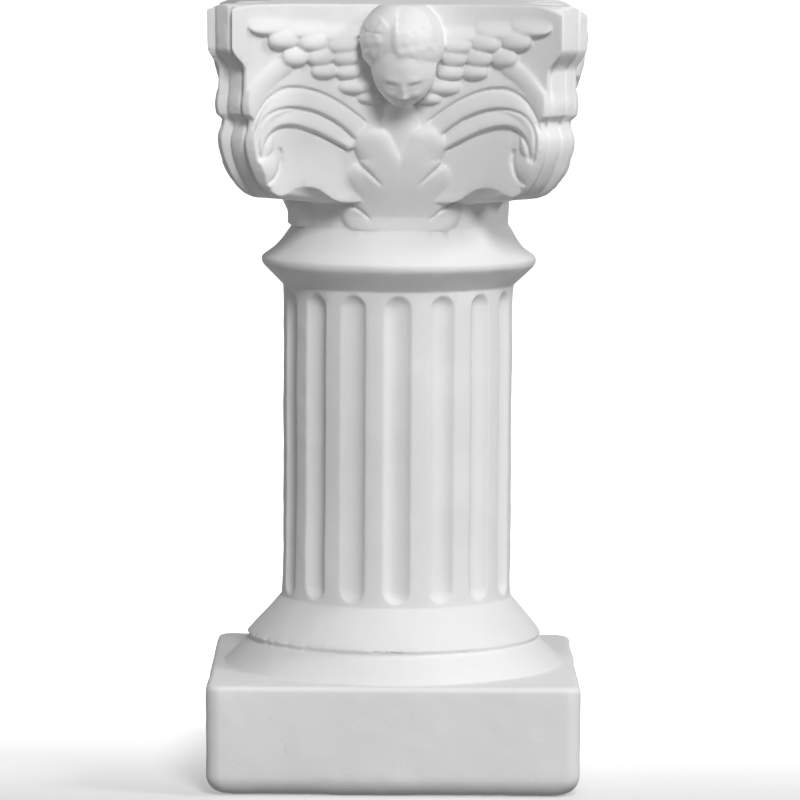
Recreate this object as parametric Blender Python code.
"""A low pedestal column cast in one piece of plaster: a square plinth, a fluted shaft and a
square capital with four hollow faces, each with a winged child's head, a pair of scrolls and
a bundle of leaves. Sizes in metres, +Z up, the carved front towards -Y."""

import math

import bmesh
import bpy
import numpy as np

# Overall, the width being across two opposite heads
HEIGHT = 0.700
WIDTH = 0.351

# Plinth
PLINTH_SIDE = 0.3315
PLINTH_HEIGHT = 0.099
PLINTH_CORNER_RADIUS = 0.013
PLINTH_TOP_ROUNDING = 0.005
PLINTH_FOOT_ROUNDING = 0.014

# Foot of the shaft
SKIRT_BASE_RADIUS = 0.155
SKIRT_HEIGHT = 0.0228
RING_RADIUS = 0.1338
RING_GROOVE_DEPTH = 0.003
RING_GROOVE_HEIGHT = 0.0035
RING_CONE_HEIGHT = 0.0352

# Shaft
SHAFT_RADIUS = 0.1046
FLUTE_COUNT = 16
FLUTE_WIDTH = 0.0238
FLUTE_DEPTH = 0.0065
FLUTE_END_GAP = 0.004

# Collar and neck
COLLAR_RADIUS = 0.1241
COLLAR_BAND_HEIGHT = 0.0085
COLLAR_UNDERSIDE_HEIGHT = 0.0184
COLLAR_TOP_HEIGHT = 0.0282
NECK_RADIUS = 0.0978
NECK_FLARE = 0.0022
NECK_HEIGHT = 0.0226

# Capital
BLOCK_HEIGHT = 0.166
BLOCK_UNDERCUT = 0.012
FACE_HALF_WIDTH = 0.1447
FACE_HOLLOW_DEPTH = 0.051
FACE_LEAN = 0.018
FACE_EDGE_ARCH = 0.005
FACE_EDGE_TIP_DROP = 0.006
FACE_EDGE_MIDDLE_DROP = 0.0095
HORN_REACH = 0.1674
HORN_REBATE = 0.0084
HORN_UNDERCUT = 0.001
HORN_BEVEL = 0.008
OGEE_DEPTH = 0.0103
HORN_SWELL = 0.0012
NOTCH_DEPTH = 0.0044
HORN_BULGE = 0.0026
SCROLL_END_DEPTH = 0.042

# Carving
FEATHER_RISE = 0.0075
FEATHER_ROW_STEP = 0.0018
BAND_RISE = 0.0080
BAND_LEAST_HALF_WIDTH = 0.003
RIDGE_RISE = 0.0065
RIDGE_WIDTH = 0.017
SCROLL_LOBE_RISE = 0.0085
LEAF_RISE = 0.015
LEAF_FOOT_REACH = 0.100
LEAF_HEAD_REACH = 0.1252
LEAF_FOOT_THICKNESS = 0.012
LEAF_FOOT_SINK = 0.003

# Fineness of the facets
ROUND_SEGMENTS = 48
FLUTE_SIDES = 12
GRID_STEP = 0.0032
CAPITAL_TRIANGLES = 5260
LEAF_FOOT_TRIANGLES = 150

# Heights worked out from the sizes above
SKIRT_TOP_Z = PLINTH_HEIGHT + SKIRT_HEIGHT
RING_EDGE_Z = SKIRT_TOP_Z + RING_GROOVE_HEIGHT
SHAFT_BASE_Z = RING_EDGE_Z + RING_CONE_HEIGHT
BLOCK_BASE_Z = HEIGHT - BLOCK_HEIGHT
NECK_TOP_Z = BLOCK_BASE_Z - BLOCK_UNDERCUT
NECK_BASE_Z = NECK_TOP_Z - NECK_HEIGHT
COLLAR_TOP_Z = NECK_BASE_Z - COLLAR_TOP_HEIGHT
COLLAR_EDGE_Z = COLLAR_TOP_Z - COLLAR_BAND_HEIGHT
SHAFT_TOP_Z = COLLAR_EDGE_Z - COLLAR_UNDERSIDE_HEIGHT
FACE_DEPTH = HORN_REACH - FACE_HOLLOW_DEPTH
HEAD_RISE = WIDTH / 2.0 - FACE_DEPTH

# Places on a face of the capital: across as a share of its half width from the middle line,
# up as a share of the block's height from its underside.
# Wing rows from the top: how many feathers, outermost place, pitch, up, half length,
# half height, and how far the inner end of the row hangs lower.
WING_ROWS = (
    (3, 0.795, 0.215, 0.893, 0.116, 0.058, 0.040),
    (3, 0.705, 0.178, 0.813, 0.092, 0.050, 0.028),
    (3, 0.635, 0.152, 0.720, 0.080, 0.050, 0.000),
    (2, 0.460, 0.150, 0.645, 0.078, 0.040, 0.004),
    (1, 0.265, 0.150, 0.562, 0.105, 0.040, 0.000),
    (1, 0.180, 0.150, 0.503, 0.075, 0.032, 0.000),
)
# Creases of the scroll and its outer ridge: start, two handles and end of each curve.
UPPER_CREASE = ((0.200, 0.377), (0.422, 0.545), (0.761, 0.691), (0.868, 0.344))
MIDDLE_CREASE = ((0.268, 0.290), (0.455, 0.486), (0.938, 0.552), (0.824, 0.178))
LOWER_CREASE = ((0.314, 0.234), (0.496, 0.319), (0.781, 0.476), (0.808, 0.187))
OUTER_RIDGE = ((0.689, 0.668), (0.903, 0.546), (1.057, 0.214), (0.811, 0.049))
SCROLL_LOBE = (0.812, 0.145, 0.118, 0.112)
# Leaves of the bundle from the top: root place, tip place and half width.
LEAVES = (
    ((0.120, 0.140), (0.190, 0.285), 0.100),
    ((0.200, -0.030), (0.245, 0.075), 0.100),
    ((0.250, -0.190), (0.272, -0.140), 0.105),
)
# Stem between the leaves: foot and top place, half width at the foot and at the top.
LEAF_STEM = ((0.0, -0.260), (0.0, 0.420), 0.300, 0.100)
LEAF_AXIS = 0.024
# Head: middle place, half width, half height and reach as shares.
HAIR_DOME = (0.005, 0.800, 0.258, 0.250, 1.00)
HAIR_LOCKS = (-0.175, 0.735, 0.105, 0.150, 0.80)
FACE_OVAL = (0.036, 0.600, 0.205, 0.165, 0.86)
CHIN = (0.036, 0.480, 0.090, 0.045, 0.74)
NOSE = (0.036, 0.545, 0.034, 0.060, 0.93)


def clear_scene():
    for obj in list(bpy.data.objects):
        bpy.data.objects.remove(obj, do_unlink=True)


def smooth_step(x):
    x = np.clip(x, 0.0, 1.0)
    return x * x * (3.0 - 2.0 * x)


def mesh_object(name, verts, faces):
    """A mesh object with its faces turned outwards."""
    mesh = bpy.data.meshes.new(name)
    mesh.from_pydata([tuple(v) for v in verts], [], faces)
    shaped = bmesh.new()
    shaped.from_mesh(mesh)
    bmesh.ops.recalc_face_normals(shaped, faces=shaped.faces)
    shaped.to_mesh(mesh)
    shaped.free()
    obj = bpy.data.objects.new(name, mesh)
    bpy.context.collection.objects.link(obj)
    return obj


def apply_modifiers(obj):
    bpy.context.view_layer.update()
    graph = bpy.context.evaluated_depsgraph_get()
    shaped = bpy.data.meshes.new_from_object(obj.evaluated_get(graph))
    obj.modifiers.clear()
    obj.data = shaped


def combine(obj, other, operation):
    """Joins another object to this one, or cuts it away, and drops the other."""
    step = obj.modifiers.new(operation.lower(), "BOOLEAN")
    step.operation = operation
    step.solver = "EXACT"
    step.object = other
    apply_modifiers(obj)
    bpy.data.objects.remove(other, do_unlink=True)


def loft(name, rings):
    """A closed solid through rings of as many points each, from the lowest up."""
    count = len(rings[0])
    verts = [p for ring in rings for p in ring]
    faces = [list(range(count))[::-1]]
    for level in range(len(rings) - 1):
        low = level * count
        for i in range(count):
            j = (i + 1) % count
            faces.append((low + i, low + j, low + count + j, low + count + i))
    faces.append([(len(rings) - 1) * count + i for i in range(count)])
    return mesh_object(name, verts, faces)


def lathe(name, profile, segments=ROUND_SEGMENTS):
    """A solid of revolution from (radius, z) pairs, lowest first."""
    rings = []
    for radius, z in profile:
        turns = [2.0 * math.pi * (i + 0.5) / segments for i in range(segments)]
        rings.append([(radius * math.cos(a), radius * math.sin(a), z) for a in turns])
    return loft(name, rings)


def rounded_square(half_side, corner, z, steps=3):
    points = []
    for quarter in range(4):
        turn = quarter * math.pi / 2.0
        middle = half_side - corner
        for step in range(steps + 1):
            a = math.pi / 2.0 * step / steps
            x = middle + corner * math.cos(a)
            y = middle + corner * math.sin(a)
            points.append(
                (
                    x * math.cos(turn) - y * math.sin(turn),
                    x * math.sin(turn) + y * math.cos(turn),
                    z,
                )
            )
    return points


def plinth():
    rings = []
    half = PLINTH_SIDE / 2.0
    for step in range(4):
        a = math.pi / 2.0 * step / 3.0
        inset = PLINTH_FOOT_ROUNDING * (1.0 - math.sin(a))
        z = PLINTH_FOOT_ROUNDING * (1.0 - math.cos(a))
        rings.append(rounded_square(half - inset, PLINTH_CORNER_RADIUS, z))
    for step in range(3):
        a = math.pi / 2.0 * step / 2.0
        inset = PLINTH_TOP_ROUNDING * (1.0 - math.cos(a))
        z = PLINTH_HEIGHT - PLINTH_TOP_ROUNDING * (1.0 - math.sin(a))
        rings.append(rounded_square(half - inset, PLINTH_CORNER_RADIUS, z))
    return loft("plinth", rings)


def turned_body():
    """Everything round: skirt, ring, shaft, collar and neck, up into the capital."""
    inner_band = COLLAR_RADIUS - (COLLAR_RADIUS - NECK_RADIUS) * 0.42
    middle_band = COLLAR_RADIUS - (COLLAR_RADIUS - NECK_RADIUS) * 0.64
    return lathe(
        "body",
        [
            (SKIRT_BASE_RADIUS, PLINTH_HEIGHT / 2.0),
            (SKIRT_BASE_RADIUS, PLINTH_HEIGHT),
            (RING_RADIUS - RING_GROOVE_DEPTH, SKIRT_TOP_Z),
            (RING_RADIUS - RING_GROOVE_DEPTH, SKIRT_TOP_Z + RING_GROOVE_HEIGHT / 3.0),
            (RING_RADIUS, RING_EDGE_Z),
            (SHAFT_RADIUS, SHAFT_BASE_Z),
            (SHAFT_RADIUS, SHAFT_TOP_Z),
            (COLLAR_RADIUS, COLLAR_EDGE_Z),
            (COLLAR_RADIUS, COLLAR_TOP_Z),
            (inner_band, COLLAR_TOP_Z + COLLAR_TOP_HEIGHT * 0.23),
            (middle_band, COLLAR_TOP_Z + COLLAR_TOP_HEIGHT * 0.47),
            (NECK_RADIUS, NECK_BASE_Z),
            (NECK_RADIUS + NECK_FLARE, NECK_TOP_Z),
            (NECK_RADIUS + NECK_FLARE, NECK_TOP_Z + BLOCK_HEIGHT * 0.4),
        ],
    )


def flute_cutter(turn):
    """A bar with ball ends that stands half outside the shaft."""
    half = FLUTE_WIDTH / 2.0
    sunk = FLUTE_DEPTH - SHAFT_RADIUS * (1.0 - math.cos(half / SHAFT_RADIUS))
    radius = (half * half + sunk * sunk) / (2.0 * sunk)
    middle = SHAFT_RADIUS - FLUTE_DEPTH + radius
    low = SHAFT_BASE_Z + FLUTE_END_GAP + half
    high = SHAFT_TOP_Z - FLUTE_END_GAP - half
    levels = [(low - radius * share, share) for share in (0.96, 0.80, 0.60, 0.33)]
    levels += [(low, 0.0), (high, 0.0)]
    levels += [(high + radius * share, share) for share in (0.33, 0.60, 0.80, 0.96)]
    rings = []
    for z, share in levels:
        size = radius * math.sqrt(1.0 - share * share)
        ring = []
        for i in range(FLUTE_SIDES):
            a = 2.0 * math.pi * (i + 0.5) / FLUTE_SIDES
            out = middle - size * math.cos(a)
            across = size * math.sin(a)
            x = out * math.cos(turn) - across * math.sin(turn)
            y = out * math.sin(turn) + across * math.cos(turn)
            ring.append((x, y, z))
        rings.append(ring)
    return loft("flute", rings)


def horn_inset(z):
    """How far the horn's outline stands in from its full width at a height."""
    up = (z - BLOCK_BASE_Z) / BLOCK_HEIGHT
    ogee = OGEE_DEPTH * smooth_step((0.775 - up) / 0.125)
    swell = -HORN_SWELL * np.exp(-(((up - 0.475) / 0.05) ** 2))
    notch = NOTCH_DEPTH * smooth_step((0.425 - up) / 0.042)
    bulge = -HORN_BULGE * smooth_step((0.375 - up) / 0.09)
    turn = np.clip((0.29 - up) / 0.31, 0.0, 1.0)
    round_end = SCROLL_END_DEPTH * (1.0 - np.sqrt(1.0 - turn * turn))
    return ogee + swell + notch + bulge + round_end


def curve(handles, steps=24):
    t = np.linspace(0.0, 1.0, steps)[:, None]
    a, b, c, d = (np.array(p) for p in handles)
    return a * (1 - t) ** 3 + 3 * b * t * (1 - t) ** 2 + 3 * c * t * t * (1 - t) + d * t**3


def along(path, widths, across, up):
    """Distance to a path as a share of the path's own half width there."""
    scale = np.array([FACE_HALF_WIDTH, BLOCK_HEIGHT])
    best = np.full(across.shape, 9.0)
    points = path * scale
    for i in range(len(points) - 1):
        a, b = points[i], points[i + 1]
        run = b - a
        length = max(float(run @ run), 1e-12)
        x = across * scale[0] - a[0]
        y = up * scale[1] - a[1]
        t = np.clip((x * run[0] + y * run[1]) / length, 0.0, 1.0)
        gap = np.hypot(x - t * run[0], y - t * run[1])
        best = np.minimum(best, gap / (widths[i] * (1 - t) + widths[i + 1] * t))
    return best


def roundness(share):
    """Height of a rounded back at a share of its half width."""
    return np.sqrt(np.clip(1.0 - share * share, 0.0, 1.0))


def band(upper, lower):
    """Middle line and half widths of the strip between two creases."""
    first, second = curve(upper), curve(lower)
    middle = (first + second) / 2.0
    scale = np.array([FACE_HALF_WIDTH, BLOCK_HEIGHT])
    widths = np.linalg.norm((first - second) * scale, axis=1) / 2.0
    return middle, np.maximum(widths, BAND_LEAST_HALF_WIDTH)


def oval(across, up, place, shape):
    a = (across - place[0]) / shape[0]
    b = (up - place[1]) / shape[1]
    return np.hypot(a, b)


def hollow_face(across, up):
    """Depth of the plain hollow face, which leans back to the neck at its foot."""
    bow = across * across
    lean = FACE_LEAN * np.clip(1.0 - up, 0.0, 1.0) ** 1.5
    return FACE_DEPTH + FACE_HOLLOW_DEPTH * bow - lean * np.clip(1.0 - bow, 0.0, 1.0)


def carved(across, up, base):
    """Depth of the carving's surface, at least that of the base under it."""
    depth = base.copy()
    side = np.abs(across)
    ridge = along(curve(OUTER_RIDGE), [RIDGE_WIDTH / 2.0] * 24, side, up)
    depth = np.maximum(depth, base + RIDGE_RISE * roundness(ridge))
    for upper, lower in ((UPPER_CREASE, MIDDLE_CREASE), (MIDDLE_CREASE, LOWER_CREASE)):
        share = along(*band(upper, lower), side, up)
        depth = np.maximum(depth, base + BAND_RISE * roundness(share))
    share = oval(side, up, SCROLL_LOBE[:2], SCROLL_LOBE[2:])
    depth = np.maximum(depth, base + SCROLL_LOBE_RISE * roundness(share))
    for row, (count, outer, pitch, height, long, high, hang) in enumerate(WING_ROWS):
        lift = FEATHER_ROW_STEP * (len(WING_ROWS) - 1 - row)
        for i in range(count):
            place = (outer - pitch * i, height - hang * i / max(count - 1, 1))
            share = oval(side, up, place, (long, high))
            rise = base + lift + FEATHER_RISE * roundness(share)
            depth = np.where(share < 1.0, np.maximum(depth, rise), depth)
    depth = np.maximum(depth, leaves(across, up))
    return np.maximum(depth, head(across, up))


def leaf_front(side, up):
    """Depth of the leaves' highest backs, which bend round with the neck at the foot."""
    share = np.clip((up + 0.12) / 0.54, 0.0, 1.0) ** 1.1
    reach = LEAF_FOOT_REACH + (LEAF_HEAD_REACH - LEAF_FOOT_REACH) * share
    bend = 0.6 - 0.4 * smooth_step((up + 0.12) / 0.2)
    return reach - bend * (side * FACE_HALF_WIDTH) ** 2 / (2.0 * NECK_RADIUS)


def leaves(across, up):
    """Depth of the leaf bundle, its leaves and stem grown into one another."""
    off = across - LEAF_AXIS
    side = np.abs(off)
    foot, top, foot_width, top_width = LEAF_STEM
    line = np.linspace(foot, top, 6)
    widths = np.linspace(foot_width, top_width, 6) * FACE_HALF_WIDTH
    height = 1.0 - 0.5 * smooth_step(up / 0.3)
    gap = 1.0 - height * roundness(along(line, widths, off, up))
    for root, tip, width in LEAVES:
        line = np.linspace(root, tip, 4)
        share = along(line, [width * FACE_HALF_WIDTH] * 4, side, up)
        gap = gap * (1.0 - 0.92 * roundness(share * share))
    return np.where(gap < 1.0, leaf_front(side, up) - LEAF_RISE * gap, 0.0)


def head(across, up):
    depth = np.zeros(across.shape)
    for place, height, half_width, half_height, reach in (
        HAIR_DOME,
        HAIR_LOCKS,
        FACE_OVAL,
        CHIN,
        NOSE,
    ):
        share = oval(across, up, (place, height), (half_width, half_height))
        bulge = HEAD_RISE * reach * (0.35 + 0.65 * roundness(share))
        depth = np.where(share < 1.0, np.maximum(depth, FACE_DEPTH + bulge), depth)
    return depth


def face_edge_shift(across):
    """The lower edge of a face: an arch beside the leaves, lower at the horns' tips."""
    side = np.abs(across)
    arch = FACE_EDGE_ARCH * np.exp(-(((side - 0.56) / 0.10) ** 2))
    tip = FACE_EDGE_TIP_DROP * smooth_step((side - 0.62) / 0.10)
    middle = FACE_EDGE_MIDDLE_DROP * smooth_step((0.50 - side) / 0.17)
    return arch - tip - middle


def capital():
    """The block with its four carved faces, as rings from its underside to its top."""
    columns = 2 * round(FACE_HALF_WIDTH / GRID_STEP)
    levels = round(BLOCK_HEIGHT / GRID_STEP)
    heights = np.linspace(BLOCK_BASE_Z, HEIGHT, levels + 1)
    neck = NECK_RADIUS + NECK_FLARE
    rings = []
    for z in heights:
        inset = float(horn_inset(z))
        half = FACE_HALF_WIDTH - inset
        reach = HORN_REACH - 1.1 * inset
        edge = half - HORN_BEVEL
        x = np.linspace(-edge, edge, columns)
        across = x / FACE_HALF_WIDTH
        fade = 1.0 - smooth_step((z - BLOCK_BASE_Z) / (0.18 * BLOCK_HEIGHT))
        level = z + fade * face_edge_shift(across)
        up = (level - BLOCK_BASE_Z) / BLOCK_HEIGHT
        depth = carved(across, up, hollow_face(across, up))
        side = [(-half, -reach)]
        side += [(float(a), -float(d)) for a, d in zip(x, depth)]
        side.append((half, -reach))
        side.append((half - HORN_UNDERCUT, -(reach - HORN_REBATE)))
        side.append((reach - HORN_REBATE, -(half - HORN_UNDERCUT)))
        rise = [fade * float(face_edge_shift(p[0] / FACE_HALF_WIDTH)) for p in side]
        ring = quarter_turns(side, z)
        rings.append([(a, b, c + d) for (a, b, c), d in zip(ring, rise * 4)])
    foot = []
    for x, y, _ in rings[0]:
        size = math.hypot(x, y)
        foot.append((x * neck * 0.97 / size, y * neck * 0.97 / size, NECK_TOP_Z))
    block = loft("capital", [foot] + rings)
    thin_out(block, CAPITAL_TRIANGLES)
    return block


def quarter_turns(points, z):
    ring = []
    for quarter in range(4):
        for x, y in points:
            for _ in range(quarter):
                x, y = -y, x
            ring.append((x, y, z))
    return ring


def leaf_foot(quarter):
    """The part of the leaf bundle that hangs down over the neck."""
    wide = 0.42
    low = (NECK_BASE_Z - BLOCK_BASE_Z) / BLOCK_HEIGHT
    high = 0.12
    across = np.linspace(LEAF_AXIS - wide, LEAF_AXIS + wide, 34)
    ups = np.linspace(low, high, 20)
    rings = []
    for up in ups:
        z = BLOCK_BASE_Z + up * BLOCK_HEIGHT
        x = across * FACE_HALF_WIDTH
        inner = np.sqrt(NECK_RADIUS**2 - x * x) - LEAF_FOOT_SINK
        depth = np.maximum(leaves(across, np.full(across.shape, up)), inner)
        front = [(float(a), -float(d)) for a, d in zip(x, depth)]
        back = [(float(a), -float(d) + LEAF_FOOT_THICKNESS) for a, d in zip(x, inner)][::-1]
        ring = []
        for a, b in front + back:
            for _ in range(quarter):
                a, b = -b, a
            ring.append((a, b, z))
        rings.append(ring)
    foot = loft("leaf_foot", rings)
    thin_out(foot, LEAF_FOOT_TRIANGLES)
    return foot


def thin_out(obj, triangles):
    """Brings a fine mesh down to about that many triangles."""
    facets = obj.modifiers.new("triangles", "TRIANGULATE")
    facets.min_vertices = 4
    apply_modifiers(obj)
    step = obj.modifiers.new("thin", "DECIMATE")
    step.decimate_type = "COLLAPSE"
    step.ratio = triangles / len(obj.data.polygons)
    apply_modifiers(obj)


def plaster():
    material = bpy.data.materials.new("cast_plaster")
    material.use_nodes = True
    shader = material.node_tree.nodes["Principled BSDF"]
    shader.inputs["Base Color"].default_value = (0.86, 0.86, 0.85, 1.0)
    shader.inputs["Roughness"].default_value = 0.85
    return material


def main():
    clear_scene()
    column = turned_body()
    column.name = "column"
    for i in range(FLUTE_COUNT):
        combine(column, flute_cutter(2.0 * math.pi * i / FLUTE_COUNT), "DIFFERENCE")
    combine(column, plinth(), "UNION")
    combine(column, capital(), "UNION")
    for quarter in range(4):
        combine(column, leaf_foot(quarter), "UNION")
    column.data.materials.clear()
    column.data.materials.append(plaster())
    column.data.shade_smooth()
    column.data.set_sharp_from_angle(angle=math.radians(35.0))


main()
